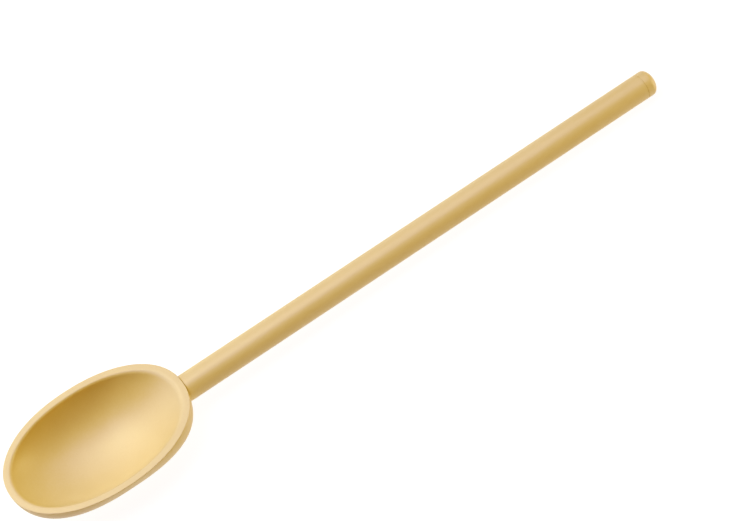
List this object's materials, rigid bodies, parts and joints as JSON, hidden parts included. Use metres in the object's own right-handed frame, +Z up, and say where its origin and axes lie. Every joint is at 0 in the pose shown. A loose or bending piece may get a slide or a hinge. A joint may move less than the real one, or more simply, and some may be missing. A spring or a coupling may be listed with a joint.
{
  "type": "cooking spoon",
  "caption": "Long-handled cooking spoon with a deep oval bowl, a flat rim and a straight round handle with a domed end, for stirring, tasting and serving.",
  "frame": {"origin": "on the table under the middle of the spoon's length and width, as it lies on its belly and on the handle's end", "axes": "+X from the bowl to the handle's end, +Z up out of the bowl, the spoon symmetric left and right of the XZ plane"},
  "size_m": [0.3794, 0.06, 0.0259],
  "materials": {
    "composite": "satin"
  },
  "bodies": {
    "root": {"bowl": "composite", "handle_tube": "composite", "end_plug": "composite"}
  },
  "joints": []
}
